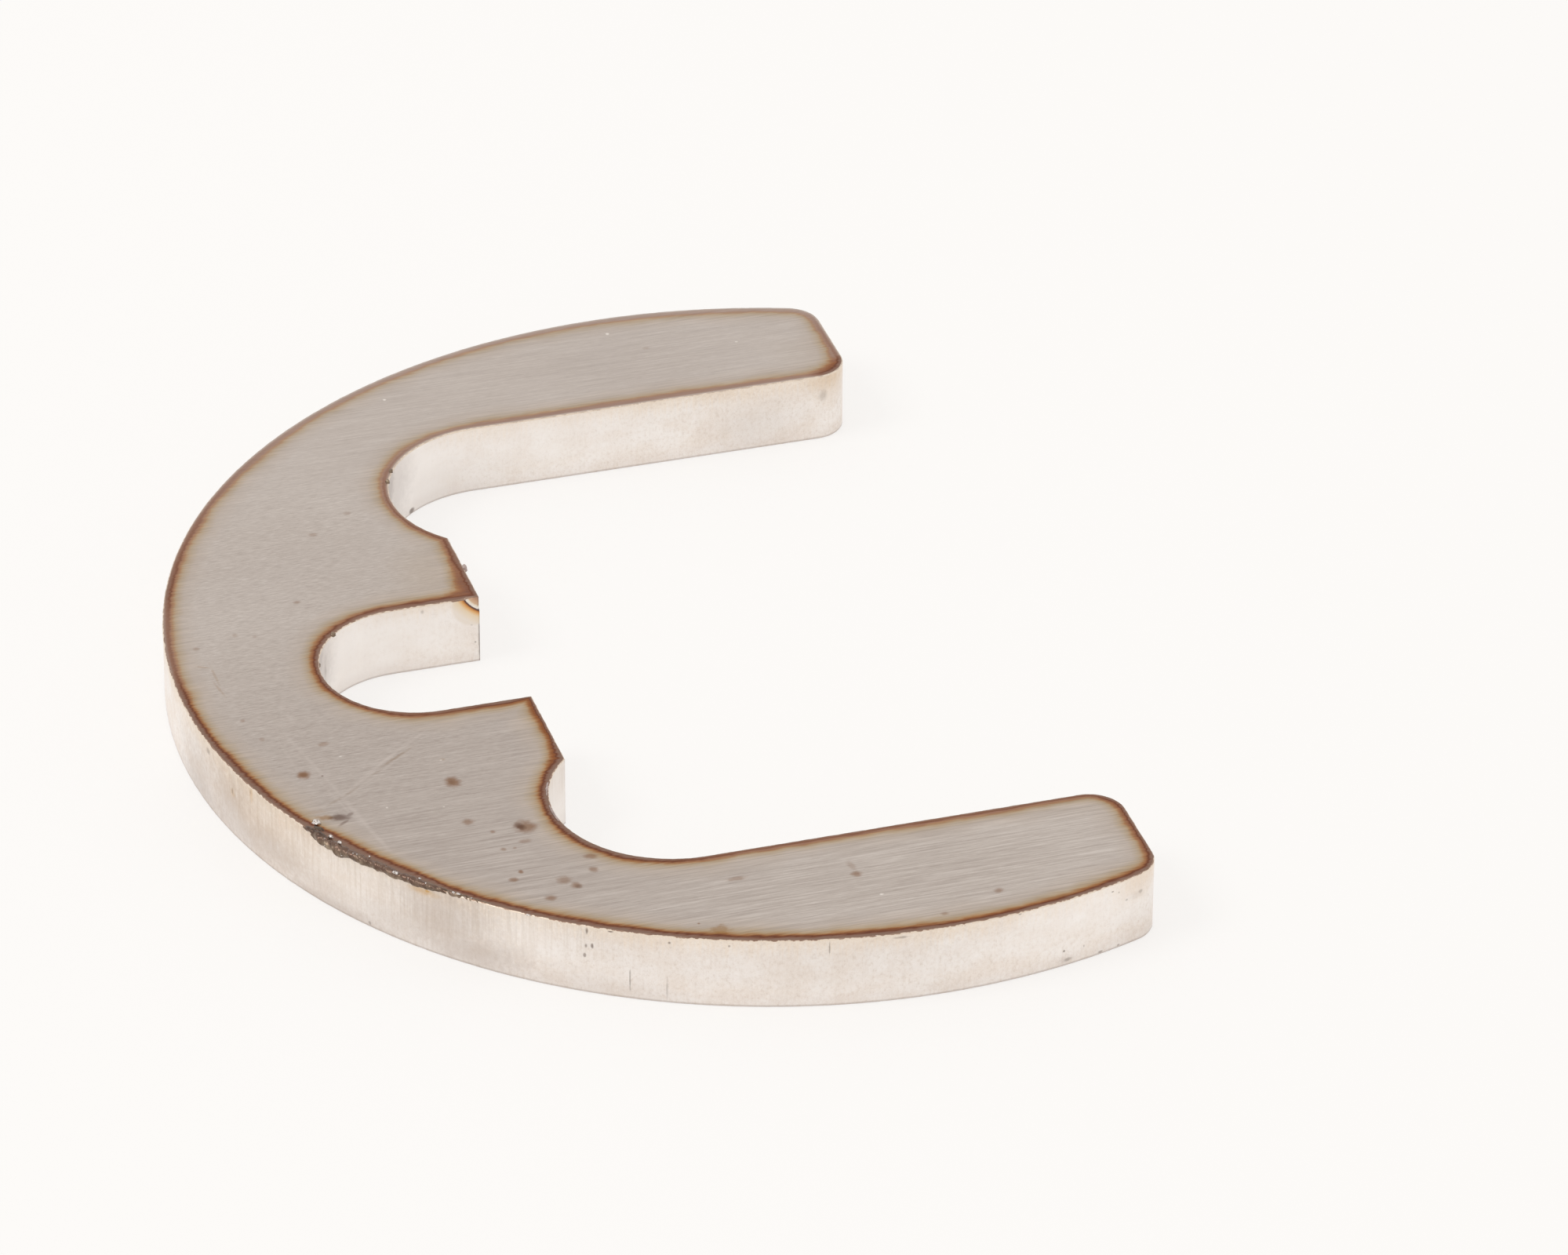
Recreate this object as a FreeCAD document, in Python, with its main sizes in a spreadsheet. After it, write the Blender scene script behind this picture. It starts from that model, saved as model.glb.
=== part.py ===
import FreeCAD, Part
import math
import os
import Sketcher
from FreeCAD import Vector

# Horseshoe washer: one flat plate cut from steel sheet, with no other piece.
# The origin is the centre of the round outer edge, on the face that the plate lies on.
# +X points out of the open throat, past the ends of the two legs, and +Z is up through the plate.

# Sizes in millimetres.
SIZES = {
    "outer_diameter": 50.8,  # the round outer edge
    "plate_thickness": 3.175,  # the sheet that the washer is cut from
    "leg_width": 7.7,  # from a leg's straight inner edge out to the rim, where it is widest
    "leg_reach": 9.4,  # from the centre forward to the square ends of the legs
    "leg_end_round": 1.5,  # the corners at each leg's end
    "back_width": 14.0,  # from the ends of the two tongues back to the rim
    "relief_radius": 5.0,  # the round relief between each leg and its tongue
    "relief_depth": 1.5,  # how far a relief runs back past the ends of the tongues
    "slot_width": 8.15,  # the slot that parts the two tongues
    "slot_web": 6.1,  # the steel left between the round bottom of the slot and the rim
}

# The most of a leg end's width that the round on one corner may take.
ROUND_SHARE = 0.45

# A sketch's origin, as the number of its X axis and of a point there, and the point numbers
# of its lines and arcs.
ORIGIN = (-1, 1)
X_AXIS = ORIGIN[0]
START, END, CENTRE = range(1, 4)


def make_sheet(doc):
    """The driving sizes, one row each: its name, and its value under the same alias."""
    sheet = doc.addObject("Spreadsheet::Sheet", "Sizes")
    for row, (name, value) in enumerate(SIZES.items(), start=1):
        sheet.set(f"A{row}", name)
        sheet.set(f"B{row}", str(value))
        sheet.setAlias(f"B{row}", name)
    doc.recompute()
    return sheet


def add_sketch(body, name):
    """An empty sketch on the body's own XY plane, which is the plate's lower face."""
    sketch = body.newObject("Sketcher::SketchObject", name)
    plane = next(item for item in body.Origin.OriginFeatures if item.Role == "XY_Plane")
    sketch.AttachmentSupport = [(plane, "")]
    sketch.MapMode = "FlatFace"
    return sketch


def add_line(sketch, x1, y1, x2, y2):
    """A straight edge of an outline."""
    return sketch.addGeometry(Part.LineSegment(Vector(x1, y1, 0), Vector(x2, y2, 0)))


def add_arc(sketch, x, y, radius, first, last):
    """A round edge of an outline, counter-clockwise between two angles in radians."""
    circle = Part.Circle(Vector(x, y, 0), Vector(0, 0, 1), radius)
    return sketch.addGeometry(Part.ArcOfCircle(circle, first, last))


def tie(sketch, kind, *where):
    """A constraint with no size, such as a tangent joint or a level line."""
    sketch.addConstraint(Sketcher.Constraint(kind, *where))


def drive(sketch, name, kind, *where, value, by):
    """A named dimension of a sketch that takes its value from the sheet."""
    index = sketch.addConstraint(Sketcher.Constraint(kind, *where, value))
    sketch.renameConstraint(index, name)
    sketch.setExpression(f"Constraints.{name}", by)


def cut_through(body, sketch, name):
    """A cut along the sketch's outline, up through the whole plate."""
    volume_before = body.Shape.Volume
    cut = body.newObject("PartDesign::Pocket", name)
    cut.Profile = sketch
    cut.Type = "ThroughAll"
    cut.Reversed = True
    body.Document.recompute()
    if cut.Shape.Volume >= volume_before:
        raise RuntimeError(f"{name} takes nothing off the plate")
    return cut


def make_blank(body, size):
    """The round disc that the plate starts as."""
    sketch = add_sketch(body, "BlankSketch")
    rim = sketch.addGeometry(
        Part.Circle(Vector(0, 0, 0), Vector(0, 0, 1), size["outer_diameter"] / 2)
    )
    tie(sketch, "Coincident", rim, CENTRE, *ORIGIN)
    drive(
        sketch, "outer_diameter", "Diameter", rim,
        value=size["outer_diameter"], by="Sizes.outer_diameter",
    )
    blank = body.newObject("PartDesign::Pad", "Blank")
    blank.Profile = sketch
    blank.setExpression("Length", "Sizes.plate_thickness")
    body.Document.recompute()
    return blank


def cut_legs_to_length(body, size):
    """The straight cut across the disc that gives both legs their square ends."""
    sketch = add_sketch(body, "LegEndSketch")
    near = size["leg_reach"]
    far = near + size["outer_diameter"] / 2
    side = size["outer_diameter"] / 2
    ends = add_line(sketch, near, -side, near, side)
    upper = add_line(sketch, near, side, far, side)
    outside = add_line(sketch, far, side, far, -side)
    lower = add_line(sketch, far, -side, near, -side)

    tie(sketch, "Coincident", ends, END, upper, START)
    tie(sketch, "Coincident", upper, END, outside, START)
    tie(sketch, "Coincident", outside, END, lower, START)
    tie(sketch, "Coincident", lower, END, ends, START)
    tie(sketch, "Symmetric", ends, START, ends, END, X_AXIS)
    tie(sketch, "Horizontal", upper)
    tie(sketch, "Horizontal", lower)
    tie(sketch, "Vertical", outside)
    drive(
        sketch, "leg_reach", "DistanceX", *ORIGIN, ends, START,
        value=near, by="Sizes.leg_reach",
    )
    drive(
        sketch, "past_the_rim", "DistanceX", upper, START, upper, END,
        value=far - near, by="Sizes.outer_diameter / 2",
    )
    drive(
        sketch, "across_the_disc", "DistanceY", ends, START, ends, END,
        value=2 * side, by="Sizes.outer_diameter",
    )
    return cut_through(body, sketch, "LegEnds")


def cut_throat(body, size):
    """The throat between the legs, with a round relief in each of its back corners.

    A leg's inner edge runs tangent into its relief, and the relief swings back past the ends
    of the tongues and comes forward again to meet them at an angle.
    """
    sketch = add_sketch(body, "ThroatSketch")
    side = size["outer_diameter"] / 2 - size["leg_width"]
    back = size["outer_diameter"] / 2 - size["back_width"]
    radius = size["relief_radius"]
    relief_x = back + size["relief_depth"] - radius
    relief_y = side - radius
    meet = math.acos((back - relief_x) / radius)
    tongue_y = relief_y - radius * math.sin(meet)
    mouth = size["outer_diameter"]

    upper_leg = add_line(sketch, mouth, side, -relief_x, side)
    upper_relief = add_arc(sketch, -relief_x, relief_y, radius, math.pi / 2, math.pi + meet)
    tongues = add_line(sketch, -back, tongue_y, -back, -tongue_y)
    lower_relief = add_arc(sketch, -relief_x, -relief_y, radius, math.pi - meet, 1.5 * math.pi)
    lower_leg = add_line(sketch, -relief_x, -side, mouth, -side)
    outside = add_line(sketch, mouth, -side, mouth, side)

    tie(sketch, "Tangent", upper_leg, END, upper_relief, START)
    tie(sketch, "Coincident", upper_relief, END, tongues, START)
    tie(sketch, "Coincident", tongues, END, lower_relief, START)
    tie(sketch, "Tangent", lower_relief, END, lower_leg, START)
    tie(sketch, "Coincident", lower_leg, END, outside, START)
    tie(sketch, "Coincident", outside, END, upper_leg, START)
    tie(sketch, "Horizontal", upper_leg)
    tie(sketch, "Horizontal", lower_leg)
    tie(sketch, "Vertical", tongues)
    tie(sketch, "Symmetric", outside, START, outside, END, X_AXIS)
    tie(sketch, "Symmetric", upper_relief, CENTRE, lower_relief, CENTRE, X_AXIS)
    drive(
        sketch, "throat_width", "DistanceY", outside, START, outside, END,
        value=2 * side, by="Sizes.outer_diameter - 2 * Sizes.leg_width",
    )
    drive(
        sketch, "relief_radius", "Radius", upper_relief,
        value=radius, by="Sizes.relief_radius",
    )
    drive(
        sketch, "tongue_setback", "DistanceX", tongues, START, *ORIGIN,
        value=back, by="Sizes.outer_diameter / 2 - Sizes.back_width",
    )
    drive(
        sketch, "relief_lead", "DistanceX", tongues, START, upper_relief, CENTRE,
        value=back - relief_x, by="Sizes.relief_radius - Sizes.relief_depth",
    )
    drive(
        sketch, "past_the_rim", "DistanceX", *ORIGIN, outside, START,
        value=mouth, by="Sizes.outer_diameter",
    )
    return cut_through(body, sketch, "Throat")


def cut_tongue_slot(body, size):
    """The slot with a round bottom that parts the back of the throat into two tongues."""
    sketch = add_sketch(body, "TongueSlotSketch")
    side = size["slot_width"] / 2
    bottom_x = size["outer_diameter"] / 2 - size["slot_web"] - side

    upper = add_line(sketch, 0, side, -bottom_x, side)
    bottom = add_arc(sketch, -bottom_x, 0, side, math.pi / 2, 1.5 * math.pi)
    lower = add_line(sketch, -bottom_x, -side, 0, -side)
    mouth = add_line(sketch, 0, -side, 0, side)

    tie(sketch, "Tangent", upper, END, bottom, START)
    tie(sketch, "Tangent", bottom, END, lower, START)
    tie(sketch, "Coincident", lower, END, mouth, START)
    tie(sketch, "Coincident", mouth, END, upper, START)
    tie(sketch, "Horizontal", upper)
    tie(sketch, "Horizontal", lower)
    tie(sketch, "Vertical", mouth)
    tie(sketch, "Symmetric", mouth, START, mouth, END, *ORIGIN)
    drive(
        sketch, "slot_width", "DistanceY", mouth, START, mouth, END,
        value=2 * side, by="Sizes.slot_width",
    )
    drive(
        sketch, "round_bottom", "DistanceX", bottom, CENTRE, *ORIGIN,
        value=bottom_x, by="Sizes.outer_diameter / 2 - Sizes.slot_web - Sizes.slot_width / 2",
    )
    return cut_through(body, sketch, "TongueSlot")


def round_leg_ends(body, size):
    """The small rounds on the four upright corners at the ends of the legs.

    A leg that is cut too narrow for them gets smaller rounds, and keeps a flat between them.
    """
    plate = body.Tip
    corners = []
    for number, edge in enumerate(plate.Shape.Edges, start=1):
        first, last = (vertex.Point for vertex in edge.Vertexes)
        upright = abs(first.z - last.z) > size["plate_thickness"] / 2
        at_leg_end = abs(first.x - size["leg_reach"]) < plate.Shape.getTolerance(1)
        if upright and at_leg_end:
            corners.append(f"Edge{number}")
    rounds = body.newObject("PartDesign::Fillet", "LegEndRounds")
    rounds.Base = (plate, corners)
    rim_at_leg_end = "sqrt((Sizes.outer_diameter / 2)^2 - Sizes.leg_reach^2)"
    throat_side = "(Sizes.outer_diameter / 2 - Sizes.leg_width)"
    widest = f"{ROUND_SHARE} * ({rim_at_leg_end} - {throat_side})"
    rounds.setExpression("Radius", f"min(Sizes.leg_end_round; {widest})")
    return rounds


def make_washer(doc):
    """The whole washer, which is one body."""
    body = doc.addObject("PartDesign::Body", "HorseshoeWasher")
    body.Label = "horseshoe_washer"
    make_blank(body, SIZES)
    cut_legs_to_length(body, SIZES)
    cut_throat(body, SIZES)
    cut_tongue_slot(body, SIZES)
    round_leg_ends(body, SIZES)
    return body


def check(doc, bodies):
    """Stops if any object of the document failed, or a body isn't one sound solid."""
    for item in doc.Objects:
        if "Invalid" in item.State or "Error" in item.State:
            raise RuntimeError(f"{item.Name} failed: {item.State}")
    for body in bodies:
        shape = body.Shape
        if shape.isNull() or not shape.isValid() or len(shape.Solids) != 1:
            raise RuntimeError(f"{body.Label} is not one sound solid")


def write_parts(bodies):
    """One STEP file for each body, named by its label."""
    os.makedirs("parts", exist_ok=True)
    for body in bodies:
        body.Shape.exportStep(f"parts/{body.Label}.step")
        print(f"{body.Label}: {body.Shape.Volume:.1f} mm3, {len(body.Shape.Faces)} faces")


document = FreeCAD.newDocument("HorseshoeWasher")
make_sheet(document)
washer = make_washer(document)
document.recompute()
check(document, [washer])
write_parts([washer])
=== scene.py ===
"""The finish of a laser-cut horseshoe washer: its plate, the melted rim of the cut and the slag on it."""
import math

import bmesh
import bpy
from mathutils import Matrix, Vector, noise

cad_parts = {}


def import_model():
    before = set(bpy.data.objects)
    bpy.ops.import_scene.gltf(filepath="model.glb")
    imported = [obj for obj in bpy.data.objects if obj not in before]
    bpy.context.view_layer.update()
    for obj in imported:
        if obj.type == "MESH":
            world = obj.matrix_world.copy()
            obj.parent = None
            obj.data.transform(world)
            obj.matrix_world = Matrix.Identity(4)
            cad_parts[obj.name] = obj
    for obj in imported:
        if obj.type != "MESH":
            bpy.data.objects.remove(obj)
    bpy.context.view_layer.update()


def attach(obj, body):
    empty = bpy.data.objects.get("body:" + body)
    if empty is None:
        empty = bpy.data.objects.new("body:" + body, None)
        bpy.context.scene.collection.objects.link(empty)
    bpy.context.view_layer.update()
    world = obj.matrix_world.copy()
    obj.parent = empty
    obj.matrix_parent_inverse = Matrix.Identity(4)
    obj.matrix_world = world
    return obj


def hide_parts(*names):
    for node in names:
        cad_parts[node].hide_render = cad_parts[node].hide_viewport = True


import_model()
scene = bpy.context.scene

# Sizes of the washer, in millimetres
MM = 0.001
RIM_CENTRE = (0, 0)
RIM_RADIUS = 25.4
THICKNESS = 3.175
LEG_END = 9.4
LEG_INSIDE = 17.7
LEG_END_ROUND = 1.5
TONGUE_END = -11.4
RELIEF_RADIUS = 5.0
RELIEF_CENTRE = (-7.9, 12.7)
SLOT_HALF = 4.075
SLOT_BOTTOM = -15.225
SLOT_CENTRE = (SLOT_BOTTOM, 0)

# The centre of the round at a leg's outer corner, and how far out a tongue's outer corner lies
CORNER_X = LEG_END - LEG_END_ROUND
CORNER_Y = math.sqrt((RIM_RADIUS - LEG_END_ROUND) ** 2 - CORNER_X ** 2)
TONGUE_Y = RELIEF_CENTRE[1] - math.sqrt(RELIEF_RADIUS ** 2 - (RELIEF_CENTRE[0] - TONGUE_END) ** 2)

# How finely the cut edge is divided, and how far the melt rolls it over
EDGE_STEP = 0.11
WALL_ROWS = 22
TOP_ROLL = 0.06
LOWER_ROLL = 0.04

# How far the melt runs down the wall and up from its foot, and how uneven they and the ribs are
MELT_REACH = 0.4
FOOT_REACH = 0.3
MELT_UNEVEN = 0.013
FOOT_UNEVEN = 0.01
RIB_UNEVEN = 0.005

# The chip at the left tongue's corner
CHIP_WIDTH = 0.7
CHIP_HEIGHT = 0.7
CHIP_REACH = 0.3
CHIP_DEPTH = 0.11


# Outline of the plate
def round_place(centre, radius, degrees, height=0.0):
    """A place on a circle round an upright axis, in millimetres."""
    turn = math.radians(degrees)
    return (centre[0] + radius * math.cos(turn), centre[1] + radius * math.sin(turn), height)


def swing(bm, tip, centre, degrees):
    """Carries the outline on from its last point round a centre, and gives the new last point."""
    middle = Vector((centre[0], centre[1], 0)) * MM
    reach = (tip.co - middle).length / MM
    steps = max(4, round(math.radians(abs(degrees)) * reach / EDGE_STEP))
    turned = bmesh.ops.spin(
        bm, geom=[tip], cent=middle, axis=(0, 0, 1), dvec=(0, 0, 0),
        angle=math.radians(degrees), steps=steps)
    return [part for part in turned["geom_last"] if isinstance(part, bmesh.types.BMVert)][0]


def run(bm, tip, across, along):
    """Carries the outline on in a straight line to a place, and gives the new last point."""
    begin = tip.co.copy()
    end = Vector((across, along, 0)) * MM
    steps = max(2, round((end - begin).length / MM / EDGE_STEP))
    for step in range(1, steps + 1):
        grown = bmesh.ops.extrude_vert_indiv(bm, verts=[tip])
        tip = grown["verts"][0]
        tip.co = begin.lerp(end, step / steps)
    return tip


def washer_outline(bm):
    """The closed outline of the washer, starting on the rim at the left leg's end."""
    corner_turn = math.degrees(math.atan2(CORNER_Y, CORNER_X))
    inner_y = LEG_INSIDE + LEG_END_ROUND
    relief_x, relief_y = RELIEF_CENTRE
    relief_turn = 180 - math.degrees(math.asin((relief_x - TONGUE_END) / RELIEF_RADIUS))

    start = bm.verts.new(Vector(round_place(RIM_CENTRE, RIM_RADIUS, corner_turn)) * MM)
    tip = swing(bm, start, RIM_CENTRE, 360 - 2 * corner_turn)
    tip = swing(bm, tip, (CORNER_X, -CORNER_Y), corner_turn)
    tip = run(bm, tip, LEG_END, -inner_y)
    tip = swing(bm, tip, (CORNER_X, -inner_y), 90)
    tip = run(bm, tip, relief_x, -LEG_INSIDE)
    tip = swing(bm, tip, (relief_x, -relief_y), -relief_turn)
    tip = run(bm, tip, TONGUE_END, -SLOT_HALF)
    tip = run(bm, tip, SLOT_BOTTOM, -SLOT_HALF)
    tip = swing(bm, tip, SLOT_CENTRE, -180)
    tip = run(bm, tip, TONGUE_END, SLOT_HALF)
    tip = run(bm, tip, TONGUE_END, TONGUE_Y)
    tip = swing(bm, tip, (relief_x, relief_y), -relief_turn)
    tip = run(bm, tip, CORNER_X, LEG_INSIDE)
    tip = swing(bm, tip, (CORNER_X, inner_y), 90)
    tip = run(bm, tip, LEG_END, CORNER_Y)
    swing(bm, tip, (CORNER_X, CORNER_Y), corner_turn)
    bmesh.ops.remove_doubles(bm, verts=bm.verts, dist=0.002 * MM)


# The plate
def edges_between(bm, lower, upper):
    """The edges whose ends lie at two heights, in millimetres."""
    found = []
    for edge in bm.edges:
        heights = sorted(vert.co.z / MM for vert in edge.verts)
        if abs(heights[0] - lower) < 0.0001 and abs(heights[1] - upper) < 0.0001:
            found.append(edge)
    return found


def roll_edge(bm, edges, width, segments):
    """Rounds the edges of a face by a small roll."""
    bmesh.ops.bevel(
        bm, geom=edges, offset=width * MM, offset_type="OFFSET", affect="EDGES",
        segments=segments, profile=0.5, material=-1, clamp_overlap=True)


def roughen_cut(bm):
    """Leaves the cut edge uneven, most of all where the melt froze along its top."""
    bm.normal_update()
    moves = []
    for vert in bm.verts:
        outward = Vector((vert.normal.x, vert.normal.y, 0))
        if outward.length < 0.05:
            continue
        outward.normalize()
        place = vert.co / MM
        melt = max(0.0, 1 - (THICKNESS - place.z) / MELT_REACH)
        foot = max(0.0, 1 - place.z / FOOT_REACH)
        ragged = noise.noise(place * 3.1) + 0.6 * noise.noise(place * 8.3)
        rib = noise.noise(Vector((place.x * 5.5, place.y * 5.5, place.z * 0.35)))
        shift = MELT_UNEVEN * melt * ragged + FOOT_UNEVEN * foot * ragged + RIB_UNEVEN * rib
        moves.append((vert, outward * shift * MM))
    for vert, move in moves:
        vert.co += move


def chip_corner(bm):
    """Takes the small chip off the left tongue's corner, on its slot side."""
    corner = Vector((TONGUE_END, SLOT_HALF, THICKNESS))
    for vert in bm.verts:
        place = vert.co / MM - corner
        if abs(place.y) > CHIP_REACH or place.x < -CHIP_WIDTH or place.z < -CHIP_HEIGHT:
            continue
        inside = 1 + place.x / CHIP_WIDTH + place.z / CHIP_HEIGHT
        if inside > 0:
            fading = max(0.0, 1 - abs(place.y) / CHIP_REACH)
            vert.co.y += min(CHIP_DEPTH, 0.5 * inside) * fading * MM


def make_plate():
    """The plate: its outline filled, raised to its thickness, rolled at both edges and roughened."""
    bm = bmesh.new()
    washer_outline(bm)
    bmesh.ops.edgeloop_fill(bm, edges=bm.edges)
    raised = bmesh.ops.extrude_face_region(bm, geom=bm.faces[:])
    upper = [part for part in raised["geom"] if isinstance(part, bmesh.types.BMVert)]
    bmesh.ops.translate(bm, verts=upper, vec=(0, 0, THICKNESS * MM))
    bmesh.ops.subdivide_edges(bm, edges=edges_between(bm, 0, THICKNESS), cuts=WALL_ROWS - 1)
    roll_edge(bm, edges_between(bm, THICKNESS, THICKNESS), TOP_ROLL, 3)
    roll_edge(bm, edges_between(bm, 0, 0), LOWER_ROLL, 2)
    bmesh.ops.recalc_face_normals(bm, faces=bm.faces)
    roughen_cut(bm)
    chip_corner(bm)
    for face in bm.faces:
        cap = len(face.verts) > 4
        face.smooth = not cap
        middle = face.calc_center_median().z / MM
        if cap:
            face.material_index = 0
        elif middle > THICKNESS - TOP_ROLL:
            face.material_index = 2
        else:
            face.material_index = 1
    return finish_piece(bm, "washer_plate")


def finish_piece(bm, name):
    """Turns a worked mesh into a piece that stays at the origin."""
    mesh = bpy.data.meshes.new(name)
    bm.to_mesh(mesh)
    bm.free()
    piece = bpy.data.objects.new(name, mesh)
    scene.collection.objects.link(piece)
    return piece


# Melt frozen along the cut
def between(stops, share):
    """The value at a share of the way along a few evenly spaced stops."""
    along = share * (len(stops) - 1)
    first = min(int(along), len(stops) - 2)
    rest = along - first
    return stops[first] * (1 - rest) + stops[first + 1] * rest


def add_rope(bm, centre, radius, drop, ends, size, swell, seed):
    """Adds a lumpy string of melt along a round cut edge, as full as the stops of its swell."""
    begin, end = ends
    before = set(bm.verts)
    middle = Vector((centre[0], centre[1], THICKNESS - drop)) * MM
    ring = bmesh.ops.create_circle(bm, segments=22, radius=size * MM)["verts"]
    bmesh.ops.rotate(bm, verts=ring, cent=(0, 0, 0), matrix=Matrix.Rotation(math.pi / 2, 3, "X"))
    bmesh.ops.translate(bm, verts=ring, vec=(radius * MM, 0, 0))
    to_begin = Matrix.Rotation(math.radians(begin), 3, "Z")
    bmesh.ops.rotate(bm, verts=ring, cent=(0, 0, 0), matrix=to_begin)
    bmesh.ops.translate(bm, verts=ring, vec=middle)
    edges = [edge for edge in bm.edges if edge.verts[0] in ring and edge.verts[1] in ring]
    steps = round(math.radians(end - begin) * radius / 0.035)
    bmesh.ops.spin(
        bm, geom=ring + edges, cent=middle, axis=(0, 0, 1), dvec=(0, 0, 0),
        angle=math.radians(end - begin), steps=steps)
    bmesh.ops.holes_fill(bm, edges=[edge for edge in bm.edges if edge.is_boundary], sides=0)
    for vert in bm.verts:
        if vert in before:
            continue
        offset = vert.co - middle
        turn = math.degrees(math.atan2(offset.y, offset.x)) % 360
        share = min(1.0, max(0.0, (turn - begin) / (end - begin)))
        core = middle + Vector(round_place((0, 0), radius, turn)) * MM
        arm = (vert.co - core) / MM
        slant = math.radians(turn) * radius + 0.8 * arm.z
        lump = 0.24 * noise.noise(Vector((slant * 1.8, arm.z * 1.5, seed)))
        lump += 0.34 * noise.noise(Vector((slant * 4.2, arm.z * 3.0, seed + 4)))
        lump += 0.14 * noise.noise(Vector((slant * 9.5, arm.z * 8.0, seed + 9)))
        fullness = between(swell, share) * (1 + lump)
        vert.co = core + arm * max(0.03, fullness) * MM


def add_bead(bm, place, size, turn, seed):
    """Adds one frozen droplet, lumpy and a little flattened, turned about the upright."""
    grown = bmesh.ops.create_icosphere(bm, subdivisions=3, radius=MM)["verts"]
    for vert in grown:
        bump = 1 + 0.45 * noise.noise(vert.co / MM * 1.6 + Vector((seed, 0, 0)))
        vert.co = Vector((vert.co.x * size[0], vert.co.y * size[1], vert.co.z * size[2])) * bump
    bmesh.ops.rotate(bm, verts=grown, cent=(0, 0, 0), matrix=Matrix.Rotation(math.radians(turn), 3, "Z"))
    bmesh.ops.translate(bm, verts=grown, vec=Vector(place) * MM)


def finish_melt(bm, name):
    """Finishes a piece of melt with smooth faces that look outward."""
    bmesh.ops.recalc_face_normals(bm, faces=bm.faces)
    for face in bm.faces:
        face.smooth = True
    return finish_piece(bm, name)


# Ropes of slag along the rim: radius, drop, both ends' angles, size, fullness along it, and seed
SLAG_ROPES = (
    (25.33, 0.06, (205.0, 208.8), 0.13, (0.25, 0.7, 1.0, 1.0, 0.8), 12.0),
    (25.36, 0.15, (206.7, 214.5), 0.2, (0.5, 1.05, 1.1, 1.15, 1.0, 0.8, 0.5), 2.0),
    (25.35, 0.08, (211.5, 222.3), 0.15, (0.5, 0.9, 1.0, 1.15, 1.05, 1.1, 1.0, 0.4), 5.0),
    (25.31, 0.06, (220.6, 229.0), 0.1, (1.0, 1.05, 1.0, 0.8, 0.6, 0.3), 8.0))

# Specks of slag on cut edges: centre, radius, angle, drop, size, turn and seed
SLAG_SPECKS = (
    (RIM_CENTRE, 25.08, 206.9, 0.07, (0.16, 0.34, 0.13), 207, 9.0),
    (RELIEF_CENTRE, 5.06, 150.6, 0.0, (0.09, 0.12, 0.1), 150, 6.0),
    (RELIEF_CENTRE, 5.06, 160.9, 0.02, (0.09, 0.11, 0.13), 160, 7.0),
    (SLOT_CENTRE, 4.1, 134, 0.02, (0.11, 0.11, 0.1), 0, 4.0),
    (SLOT_CENTRE, 4.12, 165, 0.2, (0.1, 0.12, 0.1), 0, 5.0))

# Droplets along the slag, coloured near white as painted glints: radius, angle, drop, half length and
# half width
GLINT_DROPLETS = (
    (25.17, 208.75, -0.05, 0.11, 0.075), (25.28, 210.15, -0.1, 0.095, 0.065),
    (25.44, 212.2, -0.05, 0.04, 0.03), (25.41, 212.6, -0.06, 0.04, 0.03),
    (25.16, 213.65, -0.03, 0.045, 0.035), (25.45, 217.25, -0.05, 0.15, 0.06),
    (25.23, 219.65, -0.05, 0.06, 0.035), (25.39, 220.55, -0.05, 0.045, 0.03),
    (25.36, 223.45, -0.03, 0.07, 0.045), (25.34, 223.95, -0.03, 0.1, 0.045),
    (25.33, 225.35, -0.02, 0.05, 0.03), (25.4, 231.1, 0.02, 0.12, 0.03))


def make_slag():
    """The dark slag: the ropes over the near rim's edge, and specks on other cut edges."""
    bm = bmesh.new()
    for rope in SLAG_ROPES:
        add_rope(bm, RIM_CENTRE, *rope)
    for centre, radius, angle, drop, size, turn, seed in SLAG_SPECKS:
        add_bead(bm, round_place(centre, radius, angle, THICKNESS - drop), size, turn, seed)
    return finish_melt(bm, "slag")


def make_melt_lumps():
    """Smooth lumps of melt: one on the left tongue's end, and streaks along the near relief's edge."""
    bm = bmesh.new()
    near_relief = (RELIEF_CENTRE[0], -RELIEF_CENTRE[1])
    add_bead(bm, (TONGUE_END + 0.04, 6.65, THICKNESS - 0.1), (0.13, 0.2, 0.14), 0, 3.0)
    add_rope(bm, near_relief, 5.09, 0.0, (156.5, 167.5), 0.055, (0.5, 1.0, 0.9, 0.7, 0.3), 11.0)
    add_rope(bm, near_relief, 5.09, 0.0, (176.0, 190.0), 0.05, (0.4, 0.9, 1.0, 0.9, 1.2, 0.4), 14.0)
    return finish_melt(bm, "melt_lumps")


def make_glint_beads():
    """Bare droplets coloured near white as painted highlights: the large one where the slag begins, and
    small ones along it.
    """
    bm = bmesh.new()
    add_bead(bm, round_place(RIM_CENTRE, 24.88, 205.95, THICKNESS + 0.01), (0.15, 0.19, 0.12), 206, 1.0)
    for radius, turn, drop, half_length, half_width in GLINT_DROPLETS:
        place = round_place(RIM_CENTRE, radius, turn, THICKNESS - drop)
        add_bead(bm, place, (half_width, half_length, half_width), turn, turn)
    return finish_melt(bm, "glint_beads")


# Working with shader nodes
def shade(red, green, blue):
    """A colour as it shows on a screen, 0 to 255, in the linear values that the shaders take."""
    parts = []
    for part in (red, green, blue):
        part = part / 255
        if part <= 0.04045:
            parts.append(part / 12.92)
        else:
            parts.append(((part + 0.055) / 1.055) ** 2.4)
    return (parts[0], parts[1], parts[2], 1.0)


def feed(tree, socket, value):
    """Gives a socket a value, or a link from another node."""
    if isinstance(value, bpy.types.NodeSocket):
        tree.links.new(value, socket)
    else:
        socket.default_value = value


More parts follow.
